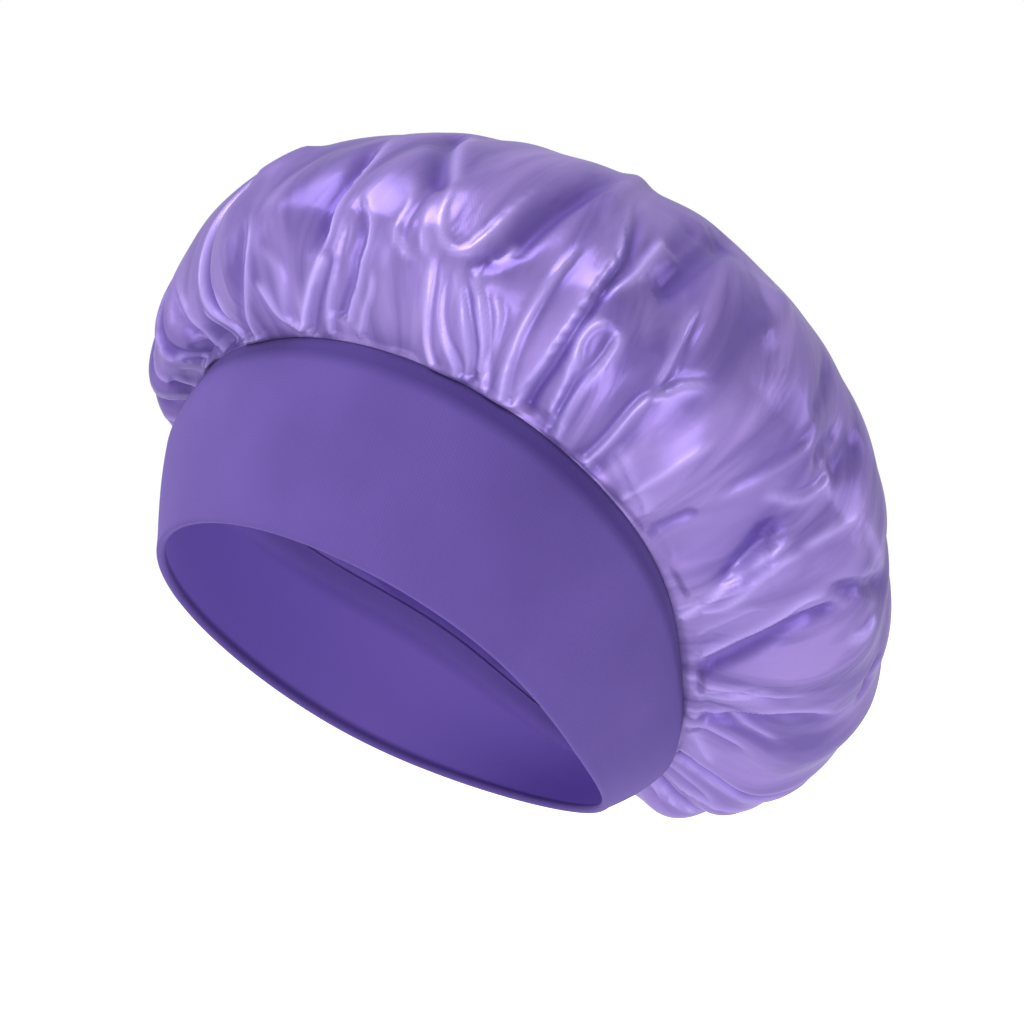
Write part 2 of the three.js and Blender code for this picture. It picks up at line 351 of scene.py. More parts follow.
# %% The section of the crown
UNDERSIDE_END = 0.09
WIDEST_AT = 0.26
UNDERSIDE_REACH = 0.5
TEMPLE_PUFF = 2.6 * MM
TEMPLE_SAG = 5.5 * MM
STRAIGHT_AT = math.radians(60)
STRAIGHT_REACH = math.radians(76)
STRAIGHT_SHARE = 0.9
STRAIGHT_EASE = 1.55
STRAIGHT_RISE = 0.78
DOME_FULLNESS = 1.074


def crown_surface(turn, up):
    """The crown's smooth outer face. up goes from 0 at the seam to 1 at the top."""
    start = seam_radius(turn) - tucked_in(turn)
    base = seam_height(turn) + SEAM_GAP
    widest = seam_radius(turn) + CROWN_PUFF * share["puff"](turn) + TEMPLE_PUFF * at_right_temple(turn)
    widest_height = base - seam_lift(turn) + CROWN_RISE * share["widest"](turn)
    under_end = start + (widest - start) * UNDERSIDE_REACH
    under_height = base - CROWN_SAG * share["sag"](turn) - TEMPLE_SAG * at_right_temple(turn)
    top = BAND_HEIGHT + SEAM_GAP + CROWN_RISE

    part = np.clip(up / UNDERSIDE_END, 0, 1)
    under = (
        start + (under_end - start) * part,
        base + (under_height - base) * np.sin(TURN / 4 * part) ** 2,
    )
    angle = TURN / 4 * np.clip((up - UNDERSIDE_END) / (WIDEST_AT - UNDERSIDE_END), 0, 1)
    side = (
        under_end + (widest - under_end) * np.sin(angle),
        widest_height - (widest_height - under_height) * np.cos(angle),
    )
    angle = TURN / 4 * np.clip((up - WIDEST_AT) / (1 - WIDEST_AT), 0, 1)
    dome = (
        widest * np.maximum(np.cos(angle), 0) ** DOME_FULLNESS,
        widest_height + (top - widest_height) * np.sin(angle) ** DOME_FULLNESS,
    )
    pick = [up < UNDERSIDE_END, up < WIDEST_AT]
    radius = np.select(pick, [under[0], side[0]], dome[0])
    height = np.select(pick, [under[1], side[1]], dome[1])

    chord = np.clip(up / WIDEST_AT, 0, 1)
    straight_radius = start + (widest - start) * (1 - (1 - chord) ** STRAIGHT_EASE)
    straight_height = base + (widest_height - base) * (STRAIGHT_RISE * chord + (1 - STRAIGHT_RISE) * chord**2)
    weight = STRAIGHT_SHARE * near_angle(turn, STRAIGHT_AT, STRAIGHT_REACH, 4) * (up < WIDEST_AT)
    radius = radius + weight * (straight_radius - radius)
    height = height + weight * (straight_height - height)
    return ring_points(turn, radius, height)


at_the_left = crown_surface(np.array([TURN / 4]), np.array([WIDEST_AT]))[0]
print("crown's widest place at the left, mm:", [round(1000 * float(value), 1) for value in at_the_left])

# %% [markdown]
# ## The folds of the satin
#
# Gathered satin doesn't fall in even waves. Each fold is a sharp crest that catches the light, with a
# trough along one side of it. The long ones start at a stitch in the seam and sweep up the crown. They
# could come from a simulation alone, but no simulation would lay them where the real ones lie. So the folds
# that show are drawn one by one, as routes over the crown, each with a height, a width and the side that its
# trough is on. A route's points are pairs: the angle round the head in degrees, and the share of the way up
# the crown.

# %% Folds drawn one by one
FOLDS = [
    # route, crest height in mm, trough depth in mm, width in mm, side of the trough
    ([(-5.5, 0.004), (-6.5, 0.03), (-4.6, 0.085), (-4.4, 0.14)], 2.0, 1.5, 2.0, -1),
    ([(-1, 0.008), (0.5, 0.05), (4, 0.10), (6, 0.15), (6.5, 0.20), (5.5, 0.25)], 1.8, 2.2, 3.0, -1),
    ([(7.2, 0.122), (7.8, 0.085), (8.6, 0.04), (11.8, 0.010)], 2.0, 1.2, 2.0, -1),
    ([(8.5, 0.182), (11.5, 0.12), (9.2, 0.028)], 0.8, 1.0, 3.0, 1),
    ([(12, 0.01), (16, 0.08), (18.5, 0.13), (20, 0.17)], 2.4, 2.4, 3.4, 1),
    ([(18.5, 0.13), (20.3, 0.19), (20.5, 0.25), (20, 0.35), (18.5, 0.42), (16, 0.50)], 2.2, 4.5, 4.2, -1),
    ([(18.5, 0.008), (19.2, 0.05), (21, 0.11), (22.5, 0.19), (23, 0.26)], 1.4, 1.4, 1.7, 1),
    ([(22, 0.03), (25, 0.10), (26, 0.15), (26.8, 0.20), (25.7, 0.26), (23, 0.31)], 2.0, 3.6, 2.2, -1),
    ([(24.5, 0.008), (26, 0.05), (28, 0.10), (28.5, 0.15)], 1.4, 1.2, 1.8, 1),
    ([(30.5, 0.26), (31, 0.225), (32.7, 0.198), (35, 0.178)], 1.4, 0.8, 2.0, -1),
    ([(33.2, 0.311), (34.5, 0.256), (35.3, 0.222), (36, 0.189)], 1.2, 1.2, 2.0, -1),
    ([(32, 0.17), (31, 0.24), (30.5, 0.31), (28, 0.38)], 1.0, 2.0, 3.0, 1),
    ([(35.5, 0.33), (33, 0.39), (29, 0.47), (24, 0.56), (20, 0.62)], 1.6, 5.0, 5.2, -1),
    ([(33, 0.40), (35, 0.34), (36.2, 0.28), (37.5, 0.24), (39.5, 0.222), (41.3, 0.24), (42.4, 0.30),
      (43, 0.38), (43.2, 0.47)], 1.8, 0.8, 1.9, -1),
    ([(39.5, 0.212), (42.3, 0.228), (44, 0.27), (45, 0.34), (46, 0.42), (47.5, 0.50), (49.5, 0.60)],
     -0.6, 5.6, 5.0, 1),
    ([(43.7, 0.223), (45.4, 0.241), (45.9, 0.30)], 1.2, 0.5, 1.6, -1),
    ([(42.9, 0.221), (43.8, 0.181), (45.7, 0.139), (46.8, 0.088), (47, 0.03)], 1.6, 1.4, 1.7, 1),
    ([(45.8, 0.177), (47.4, 0.149), (47.9, 0.109), (48.3, 0.05)], 1.4, 1.4, 1.7, 1),
    ([(36.8, 0.23), (37.3, 0.15), (37.5, 0.08), (38, 0.04), (39.5, 0.008)], 1.8, 1.6, 1.9, 1),
    ([(39.3, 0.20), (39.6, 0.12), (41, 0.07), (43.3, 0.03), (44, 0.008)], 1.6, 1.8, 1.9, 1),
    ([(40.6, 0.205), (42.5, 0.15), (44, 0.10), (45.2, 0.05), (45.5, 0.01)], 1.6, 2.6, 1.9, 1),
    ([(44.5, 0.20), (45, 0.15), (46.3, 0.10), (47.5, 0.06), (48.7, 0.01)], 1.6, 1.4, 1.9, 1),
    ([(53, 0.36), (52, 0.27), (51, 0.16), (51, 0.07), (52, 0.01)], 1.8, 1.6, 2.4, 1),
    ([(53.2, 0.02), (54.3, 0.06), (55.2, 0.11)], 0.9, 0.9, 1.3, 1),
    ([(54.5, 0.52), (56, 0.44), (57, 0.36), (56.6, 0.27), (56, 0.18), (55.3, 0.10), (54.6, 0.05),
      (54.4, 0.01)], 2.2, 4.6, 3.0, 1),
    ([(59.5, 0.03), (59.1, 0.117), (58.1, 0.162), (58.2, 0.19), (59, 0.208), (60.8, 0.222)],
     2.0, 1.6, 2.0, 1),
    ([(61.5, 0.47), (60.7, 0.39), (60, 0.32), (58.3, 0.25)], 2.0, 2.2, 2.6, -1),
    ([(61, 0.27), (62, 0.35), (63.5, 0.42), (65.5, 0.50), (67.5, 0.57), (69, 0.66)], -0.5, 6.2, 6.0, 1),
    ([(60, 0.215), (62, 0.20), (62, 0.15), (61.3, 0.10), (61.3, 0.05), (62.2, 0.01)], 1.8, 2.4, 1.9, -1),
    ([(57.7, 0.14), (59.3, 0.09), (59.8, 0.03)], 1.0, 1.2, 1.6, 1),
    ([(68.8, 0.37), (68.7, 0.27), (69.5, 0.20), (69.8, 0.16)], 1.3, 2.4, 2.4, 1),
    ([(75.5, 0.23), (72.5, 0.20), (71, 0.17), (69.8, 0.145)], 1.4, 2.2, 2.2, -1),
    ([(69.8, 0.17), (69, 0.12), (69, 0.05), (68.5, 0.005)], 1.8, 2.4, 2.0, -1),
    ([(69.1, 0.055), (73.5, 0.046), (78.9, 0.036), (82, 0.026)], 0.9, 0.8, 2.0, -1),
    ([(79.5, 0.18), (78.3, 0.12), (77.5, 0.06), (77, 0.012)], 1.4, 0.8, 4.0, 1),
    ([(84.5, 0.01), (85.3, 0.05), (86.5, 0.09)], -0.3, 2.6, 2.6, 1),
    ([(87, 0.10), (88.5, 0.15), (89.5, 0.20), (91, 0.27), (92.5, 0.31)], 0.8, 1.8, 3.2, -1),
    ([(88, 0.31), (89.5, 0.38), (91.5, 0.45), (94, 0.53)], -0.4, 3.0, 4.2, 1),
    ([(92, 0.26), (94, 0.32), (96, 0.37), (98.5, 0.44)], -0.4, 3.0, 3.6, 1),
    ([(99.3, 0.33), (98, 0.26), (96, 0.21), (93, 0.185), (90.5, 0.165)], 1.4, 2.2, 2.2, -1),
    ([(99.5, 0.185), (96, 0.17), (95, 0.14), (97, 0.10), (100, 0.065), (104.5, 0.037)], -0.4, 6.2, 6.0, 1),
    ([(98.4, 0.17), (98.2, 0.13), (99.6, 0.095), (103, 0.058)], 0, 2.6, 3.0, 1),
    ([(100, 0.19), (100.7, 0.14), (102, 0.10), (104.5, 0.06), (107.5, 0.03), (109.5, 0.004)],
     2.0, 1.0, 2.0, -1),
    ([(109.8, 0.03), (109, 0.058), (105, 0.107), (103, 0.152), (103.4, 0.19)], 1.5, 0.8, 2.0, 1),
    ([(102, 0.17), (104, 0.24), (107, 0.31)], 1.2, 0.8, 5.0, 1),
    ([(122.5, 0.02), (118, 0.064), (113.3, 0.127), (111.4, 0.168), (113, 0.203)], 1.8, 1.5, 2.0, 1),
    ([(107.5, 0.30), (113.9, 0.315), (121, 0.322)], 1.0, 1.2, 3.0, 1),
    ([(121.8, 0.206), (124.9, 0.238), (124.8, 0.282)], 1.4, 1.6, 3.0, -1),
    ([(118.5, 0.22), (114.5, 0.205), (113.3, 0.16), (115, 0.11), (118, 0.07), (121, 0.04), (124, 0.008)],
     0.9, 4.6, 3.6, 1),
    ([(109.5, 0.11), (112, 0.07), (116, 0.025)], 0.7, 1.6, 1.8, 1),
    ([(108, 0.19), (113, 0.24), (117, 0.29), (121, 0.33), (127, 0.385)], 0.5, 4.6, 4.2, 1),
    ([(126.5, 0.105), (130, 0.06), (134.5, 0.012)], 0.7, 1.8, 1.8, 1),
    ([(135.3, 0.012), (134.5, 0.036), (132.3, 0.069), (126.5, 0.114)], 1.4, 1.4, 1.8, 1),
    ([(150.5, 0.012), (154, 0.028), (156, 0.049)], 1.2, 1.6, 2.0, 1),
    ([(143.5, 0.235), (139.5, 0.245), (136, 0.25)], -0.3, 4.0, 4.2, 1),
    ([(142, 0.215), (139, 0.185), (136, 0.155), (135, 0.12), (137.5, 0.08), (141, 0.045), (144.5, 0.008)],
     1.6, 4.4, 2.8, 1),
    # broad rises and dips, which give the outline its corners: a trough below nothing is a rise
    ([(50, 0.42), (50.5, 0.50), (50.5, 0.60), (51, 0.68)], 0, -3.6, 5.5, 1),
    ([(60.5, 0.42), (62, 0.50), (63, 0.58)], 0, 3.6, 5.5, 1),
    ([(74, 0.34), (76.5, 0.42), (78, 0.48), (79, 0.56)], 0, -3.8, 6.5, 1),
    ([(96, 0.30), (99, 0.38), (102, 0.46)], 0, 3.6, 6.5, 1),
    ([(2, 0.30), (4, 0.38), (4.5, 0.46)], 0, -2.6, 6.0, -1),
]
print("folds drawn by hand:", len(FOLDS))

# %% [markdown]
# ## Laying a fold on the crown
#
# The crown is a grid: columns run round the head and rows run up to the top. A fold lifts and lowers each
# point of the grid by how far it lies from the fold's route, measured on the cloth. The route is a smooth
# curve through the listed points. The distance has a sign, so the trough falls on the right side. A real
# crest is a thin line of light, finer than the grid can carry, so each fold also carries a painted highlight
# along its crest and painted shade in its trough, and the satin is a little lighter and darker there.

# %% The crown's grid
COLUMNS = 720
ROWS = 120
ROW_CROWDING = 1.25
CROWDED_ROUND = math.radians(67)
CROWDED_REACH = math.radians(85)
CROWDING = 1.4


def crowded_angles(count):
    """Angles round the head that stand closer together where the listed folds are."""
    fine = np.linspace(0, TURN, 3601)
    away = (fine - CROWDED_ROUND + math.pi) % TURN - math.pi
    density = 1 + CROWDING * np.exp(-((away / CROWDED_REACH) ** 4))
    so_far = np.concatenate([[0.0], (density[1:] + density[:-1]).cumsum()])
    return np.interp(np.arange(count) / count, so_far / so_far[-1], fine)


column_angles = crowded_angles(COLUMNS)
row_shares = (np.arange(ROWS) / ROWS) ** ROW_CROWDING
turn_grid, up_grid = np.meshgrid(column_angles, row_shares)
smooth_crown = crown_surface(turn_grid, up_grid)
way_up = np.linalg.norm(np.diff(smooth_crown, axis=0), axis=-1).cumsum(0).mean(1)
way_up = np.concatenate([[0.0], way_up])
ring_radius = np.hypot(smooth_crown[..., 0], smooth_crown[..., 1])
print("columns and rows:", COLUMNS, ROWS)

# %% The profile of a fold
AT_THE_SEAM = 0.035
RIDGE_WIDTH = 1.35 * MM
SLANT_WIDENS = 1.3
RIDGE_SHARE = 0.6
GROOVE_SHARE = 0.6
HOLLOW_SHARE = 0.2
# strengths at which a fold's painted crest highlight and painted trough shade are full
CREST_HIGHLIGHT_FULL = 1.2
TROUGH_SHADE_FULL = 2.6
FOLD_REACH = math.radians(24)
ROWS_BEYOND = 0.04
FADE = 0.25
FADE_AT_SEAM = 0.02
RIDGE_POWER = 1.5
# places and widths across a fold, as shares of its own width
GROOVE_AT = 0.9
GROOVE_WIDTH = 0.8
HOLLOW_AT = 0.5
HOLLOW_WIDTH = 3.0


def smooth_route(points, steps=60):
    """A Catmull-Rom curve through the points, as angles in radians and shares of the way up."""
    knots = np.array(points, float)
    knots[:, 0] = np.radians(knots[:, 0])
    knots = np.vstack([2 * knots[0] - knots[1], knots, 2 * knots[-1] - knots[-2]])
    result = []
    for place in np.linspace(0, len(points) - 1, steps):
        index = min(int(place), len(points) - 2)
        t = place - index
        a, b, c, d = knots[index:index + 4]
        straight = 2 * b + (c - a) * t
        square = (2 * a - 5 * b + 4 * c - d) * t**2
        cube = (3 * b - a - 3 * c + d) * t**3
        result.append(0.5 * (straight + square + cube))
    return np.array(result)


def lay_fold(lift, route, crest, trough, width, side):
    """Adds one fold to the lift grid, and paints a highlight on its crest and shade in its trough. Heights
    and the width are in mm.
    """
    path = smooth_route(route)
    middle = path[:, 0].mean()
    low = np.searchsorted(row_shares, path[:, 1].min() - ROWS_BEYOND)
    high = np.searchsorted(row_shares, path[:, 1].max() + ROWS_BEYOND)
    span = np.ptp(path[:, 0]) / 2 + FOLD_REACH
    offset = (column_angles - middle + math.pi) % TURN - math.pi
    columns = np.flatnonzero(np.abs(offset) < span)
    rows = np.arange(low, min(high + 1, ROWS))
    patch = np.ix_(rows, columns)
    radius = ring_radius[patch]
    across = offset[columns][None, :] * radius
    along = np.broadcast_to(way_up[rows][:, None], across.shape)
    path_up = np.interp(path[:, 1], row_shares, way_up)
    path_radius = np.interp(path[:, 1], row_shares[rows], radius.mean(1))
    best = np.full(across.shape, np.inf)
    signed = np.zeros(across.shape)
    part = np.zeros(across.shape)
    ahead = np.gradient(np.stack([(path[:, 0] - middle) * path_radius, path_up], -1), axis=0)
    for index, (angle, _) in enumerate(path):
        step_x = across - (angle - middle) * radius
        step_y = along - path_up[index]
        distance = np.hypot(step_x, step_y)
        nearer = distance < best
        best = np.where(nearer, distance, best)
        hand = np.sign(step_x * ahead[index, 1] - step_y * ahead[index, 0])
        signed = np.where(nearer, distance * hand, signed)
        part = np.where(nearer, index / (len(path) - 1), part)
    upward = 1 if path_up[-1] > path_up[0] else -1
    away = signed * upward * side / (width * MM)
    starts_low = path[0, 1] < AT_THE_SEAM
    ends_low = path[-1, 1] < AT_THE_SEAM
    fade_in = np.clip(part / (FADE_AT_SEAM if starts_low else FADE), 0, 1)
    fade_out = np.clip((1 - part) / (FADE_AT_SEAM if ends_low else FADE), 0, 1)
    fade = fade_in * fade_out
    fade = fade * fade * (3 - 2 * fade)
    slant = np.abs(ahead[:, 0]).sum() / np.hypot(ahead[:, 0], ahead[:, 1]).sum()
    ridge_width = RIDGE_WIDTH * (1 + SLANT_WIDENS * slant)
    ridge = crest * RIDGE_SHARE * np.exp(-(np.abs(away * width * MM / ridge_width) ** RIDGE_POWER))
    groove = trough * GROOVE_SHARE * np.exp(-(((away - GROOVE_AT) / GROOVE_WIDTH) ** 2))
    hollow = trough * HOLLOW_SHARE * np.exp(-(((away - HOLLOW_AT) / HOLLOW_WIDTH) ** 2))
    lift[patch] += (ridge - groove - hollow) * fade * MM
    # each fold paints a highlight along its crest and shade in its trough, for light finer than the grid
    painted_crest_highlight[patch] = np.maximum(painted_crest_highlight[patch], ridge * fade / CREST_HIGHLIGHT_FULL)
    painted_trough_shade[patch] = np.maximum(painted_trough_shade[patch], (groove + hollow) * fade / TROUGH_SHADE_FULL)


painted_crest_highlight = np.zeros_like(turn_grid)
painted_trough_shade = np.zeros_like(turn_grid)
lift = np.zeros_like(turn_grid)
for fold in FOLDS:
    lay_fold(lift, *fold)
print("deepest trough, mm:", round(lift.min() * 1000, 1))
print("highest crest, mm:", round(lift.max() * 1000, 1))

# %% [markdown]
# ## Gathers along the seam, and the side that the camera doesn't see
#
# The edge of the satin circle is more than twice as long as the seam, so it is drawn up on a thread into
# dozens of small pleats, one to two centimetres apart. The hidden side has long folds of the same kind as
# the side that shows. Both are drawn by a loop with a seeded random generator, so that they are uneven but
# the same in every run. A gather is left out where a listed fold already has its foot, and where the
# real seam runs smooth.

# %% Gathers and the folds of the hidden side
GATHERS = 58
HIDDEN_FOLDS = 24
CLEAR_OF_FEET = 1.9
FEET_BELOW = 0.06
SMOOTH_STRETCHES = [(26, 36), (62, 96)]
# from here half way round the head, the trough of a gather is on its other side
TROUGHS_TURN = 34
HIDDEN_FROM = 152
HIDDEN_TO = 354

draw = np.random.default_rng(7)
route_ends = [place for fold in FOLDS for place in (fold[0][0], fold[0][-1])]
drawn_feet = np.array([angle for angle, up in route_ends if up < FEET_BELOW])
gathers_laid = 0
for index in range(GATHERS):
    foot = (index + draw.uniform(-0.3, 0.3)) * 360 / GATHERS
    near_drawn = np.abs((drawn_feet - foot + 180) % 360 - 180).min() < CLEAR_OF_FEET
    if near_drawn or any(low < foot < high for low, high in SMOOTH_STRETCHES):
        continue
    height = draw.uniform(0.05, 0.16)
    drift = draw.normal(0, 1.6)
    route = [(foot, 0.004), (foot + 0.3 * drift, height * 0.5), (foot + drift, height)]
    crest = draw.uniform(0.9, 2.0)
    trough = draw.uniform(1.0, 2.6)
    width = draw.uniform(1.6, 2.6)
    lay_fold(lift, route, crest, trough, width, 1 if TROUGHS_TURN < foot < TROUGHS_TURN + 180 else -1)
    gathers_laid += 1
for index in range(HIDDEN_FOLDS):
    span = (HIDDEN_TO - HIDDEN_FROM) / HIDDEN_FOLDS
    foot = HIDDEN_FROM + (index + draw.uniform(0.2, 0.8)) * span
    head = draw.uniform(0.34, 0.66) if index % 2 else draw.uniform(0.16, 0.34)
    bow = draw.normal(0, 2.6)
    sweep = draw.normal(0, 4.5)
    bend = foot + bow + 0.4 * sweep
    route = [(foot, 0.006), (foot + bow, head * 0.3), (bend, head * 0.65), (foot + sweep, head)]
    trough = draw.uniform(3.6, 6.0) if index % 2 else draw.uniform(1.8, 3.0)
    crest = draw.uniform(1.4, 2.3)
    width = trough * draw.uniform(0.8, 1.1)
    lay_fold(lift, route, crest, trough, width, draw.choice([-1, 1]))
print("gathers:", gathers_laid, "hidden folds:", HIDDEN_FOLDS)

# %% [markdown]
# ## Soft swells
#
# Between the folds the satin isn't flat either: air and its own spring push it out in soft swells a few
# centimetres wide. Waves of a few lengths, crossed at slight angles, give them. Right at the seam the
# stitching holds the satin flat, as a narrow hem strip with a shallow groove along its upper edge. The strip
# is widest behind the left ear, and there is none on the far side.

# %% Soft swells and the flat hem
SWELL_HEIGHT = 2.0 * MM
SWELLS_FADE = 0.75
TOP_FADE = 0.12
# waves round the head, how far each climbs as it goes round, and where it starts
SWELLS = [(9, 5.0, 0.4), (14, -7.0, 1.9), (21, 9.0, 3.1), (31, -12.0, 5.0)]
HEM_LEAST = -1.5 * MM
HEM_MOST = 4.5 * MM
HEM_SHOWS_AT = 118
HEM_REACH = 40
HEM_EASE = 3.5 * MM
STITCH_DENT = 0.5 * MM
STITCH_WIDTH = 0.9 * MM

for waves, climb, start in SWELLS:
    height = SWELL_HEIGHT * (SWELLS[0][0] / waves) ** 0.5
    wave = np.sin(waves * turn_grid + climb * up_grid + start)
    strength = 0.5 + 0.5 * np.sin(3 * turn_grid + 4 * up_grid + start)
    lift += height * wave * strength * np.clip((1 - up_grid) / SWELLS_FADE, 0, 1) ** 2
from_shown = (np.degrees(column_angles) - HEM_SHOWS_AT) / HEM_REACH
hem_width = HEM_LEAST + (HEM_MOST - HEM_LEAST) * np.exp(-(from_shown**2))
from_hem = way_up[:, None] - hem_width
past_hem = np.clip(from_hem / HEM_EASE, 0, 1)
near_top = np.clip((1 - up_grid) / TOP_FADE, 0, 1)
lift *= past_hem**2 * (3 - 2 * past_hem) * near_top
lift -= STITCH_DENT * np.exp(-((from_hem / STITCH_WIDTH) ** 2))
print("hem, mm:", round(1000 * hem_width.min(), 1), "to", round(1000 * hem_width.max(), 1))

# %% [markdown]
# ## The crown's cloth
#
# The crown is one sheet. It starts as a flat grid, the way a piece of cloth starts, which also gives it a
# UV map. The grid is then wrapped round: its columns run round the head and its rows run from the hem,
# turned in over the edge of the band, out along the underside and up to the top. Merging the doubles sews
# it shut. The points carry the painted highlight and painted shade of the folds, and a third mark that says
# how far the cloth is drawn out towards the seam.

# %% Wrap a sheet round the head
HEM_TURNED_IN = 0.5 * BAND_WALL
HEM_STEPS = (1.0, 0.55, 0.15)
MERGED_WITHIN = 0.01 * MM
STREAKS_END = 0.78
STREAKS_FADE = 0.4


def outward(points):
    """The direction that faces out of a grid of points, whose columns run round and whose rows run up."""
    around_it = np.roll(points, -1, axis=1) - np.roll(points, 1, axis=1)
    up_it = np.gradient(points, axis=0)
    facing = np.cross(around_it, up_it)
    return facing / np.maximum(np.linalg.norm(facing, axis=-1, keepdims=True), 1e-12)


def wrap_sheet(name, points, top=None, marks=None):
    """A grid primitive wrapped onto rings of points. With a top, the last ring closes there. The marks are
    grids of values that the points carry, by name."""
    rows, columns = points.shape[:2]
    if top is not None:
        points = np.concatenate([points, np.broadcast_to(top, (1, columns, 3))])
        rows += 1
    deselect_all()
    bpy.ops.mesh.primitive_grid_add(x_subdivisions=columns, y_subdivisions=rows - 1, size=1, calc_uvs=True)
    sheet = bpy.context.object
    sheet.name = name
    flat = np.empty(len(sheet.data.vertices) * 3, np.float32)
    sheet.data.vertices.foreach_get("co", flat)
    flat = flat.reshape(-1, 3)
    column = np.rint((flat[:, 0] + 0.5) * columns).astype(int)
    row = np.rint((flat[:, 1] + 0.5) * (rows - 1)).astype(int)
    placed = points[row, column % columns]
    sheet.data.vertices.foreach_set("co", lean_back(placed).astype(np.float32).ravel())
    for mark, grid in (marks or {}).items():
        closed = int(top is not None)
        values = np.pad(grid, ((rows - len(grid) - closed, closed), (0, 0)))
        carried = sheet.data.attributes.new(mark, "FLOAT", "POINT")
        carried.data.foreach_set("value", values[row, column % columns].astype(np.float32).ravel())
    run = np.linalg.norm(np.diff(points, axis=0), axis=-1).mean(1).cumsum()
    width = TURN * np.hypot(points[..., 0], points[..., 1]).max()
    print(name, "widest ring and way up, mm:", round(1000 * width), round(1000 * run[-1]))
    corner = np.empty(len(sheet.data.loops), np.int32)
    sheet.data.loops.foreach_get("vertex_index", corner)
    height = np.concatenate([[0.0], run])[row[corner]]
    spread = np.stack([column[corner] / columns * width, height], -1)
    sheet.data.uv_layers.active.data.foreach_set("uv", spread.astype(np.float32).ravel())
    bpy.ops.object.mode_set(mode="EDIT")
    bpy.ops.mesh.select_all(action="SELECT")
    bpy.ops.mesh.remove_doubles(threshold=MERGED_WITHIN)
    bpy.ops.object.mode_set(mode="OBJECT")
    return sheet


def count_triangles(piece):
    """How many triangles the faces of a piece make."""
    return sum(len(face.vertices) - 2 for face in piece.data.polygons)


crown_points = smooth_crown + outward(smooth_crown) * lift[..., None]
hem_radius = seam_radius(column_angles) - tucked_in(column_angles)
hem_height = seam_height(column_angles) + SEAM_GAP
hem = [ring_points(column_angles, hem_radius - HEM_TURNED_IN * inward, hem_height) for inward in HEM_STEPS]
crown_points = np.concatenate([np.stack(hem), crown_points])
crown_top = np.array([0, 0, BAND_HEIGHT + SEAM_GAP + CROWN_RISE])
drawn_mark = np.clip((STREAKS_END - up_grid) / STREAKS_FADE, 0, 1)
# crest and trough carry the painted highlight and painted shade of the folds
marks = {"crest": painted_crest_highlight, "trough": painted_trough_shade, "drawn": drawn_mark}
crown = wrap_sheet("crown_satin", crown_points, crown_top, marks)
print("crown sheet:", count_triangles(crown), "triangles")

# %% [markdown]
# ## The inside of the crown
#
# A wall could be given by the Solidify modifier, but sharp folds would make its inner face cut through
# itself. So the inner face is a second, coarser sheet. It follows the lowest parts of the outer one, so it
# always stays inside. Its edge is bridged to the hem, and the crown is one closed piece.

# %% Give the satin its wall
SATIN_WALL = 0.8 * MM
INNER_STEP = 4


def smooth_shade(piece):
    """Shades a piece smooth all over."""
    deselect_all()
    piece.select_set(True)
    bpy.context.view_layer.objects.active = piece
    bpy.ops.object.shade_smooth()


def lowest_nearby(grid, reach):
    """Each point's lowest value within reach steps round and up, so that the inner face stays inside."""
    result = grid.copy()
    for step in range(-reach, reach + 1):
        result = np.minimum(result, np.roll(grid, step, axis=1))
    padded = np.pad(result, ((reach, reach), (0, 0)), mode="edge")
    return np.min([padded[start:start + len(grid)] for start in range(2 * reach + 1)], axis=0)


inner_lift = lowest_nearby(lift, INNER_STEP) - SATIN_WALL
inner_points = smooth_crown + outward(smooth_crown) * inner_lift[..., None]
inner_points = inner_points[INNER_STEP // 2::INNER_STEP, ::INNER_STEP]
inner_hem = hem[0][::INNER_STEP] + np.array([0, 0, SATIN_WALL])
inner_points = np.concatenate([inner_hem[None], inner_points])[:, ::-1]
inner_mark = np.ones(inner_points.shape[:2])
inner_top = crown_top - np.array([0, 0, SATIN_WALL])
inner_face = wrap_sheet("inner_face", inner_points, inner_top, {"inner": inner_mark})
deselect_all()
inner_face.select_set(True)
crown.select_set(True)
bpy.context.view_layer.objects.active = crown
bpy.ops.object.join()
bpy.ops.object.mode_set(mode="EDIT")
bpy.ops.mesh.select_all(action="DESELECT")
bpy.ops.mesh.select_mode(type="EDGE")
bpy.ops.mesh.select_non_manifold()
bpy.ops.mesh.bridge_edge_loops()
bpy.ops.mesh.select_all(action="DESELECT")
bpy.ops.mesh.select_non_manifold()
bpy.ops.object.mode_set(mode="OBJECT")
print("crown with its wall:", count_triangles(crown), "triangles")
print("open edges:", sum(edge.select for edge in crown.data.edges))
smooth_shade(crown)

# %% [markdown]
# ## The band
#
# The band is a tube of stretch knit folded double, with the fold at the rim where the head goes in. It is
# made like the crown, as a sheet wrapped round: up the outside from the fold, over the top edge under the
# crown's hem, and down the inside. The fold at the rim is a half circle, a little fuller than the wall,
# because knit rolls when it is folded. Near the seam the band curves in, where the stitching pulls it.

# %% The band
BAND_COLUMNS = 360
BAND_ROWS = 44
FOLD_STEPS = 8
ROLL = 0.25 * MM
ROLL_REACH = 2.2 * MM
SHOULDER_POWER = 1.2
TEMPLE_SHOULDER = 14 * MM

band_angles = np.arange(BAND_COLUMNS) * TURN / BAND_COLUMNS
band_rise = seam_height(band_angles) - rim_height(band_angles)
band_run = seam_radius(band_angles) - rim_radius(band_angles)
slant = np.hypot(band_rise, band_run)
out_across, out_high = band_rise / slant, -band_run / slant


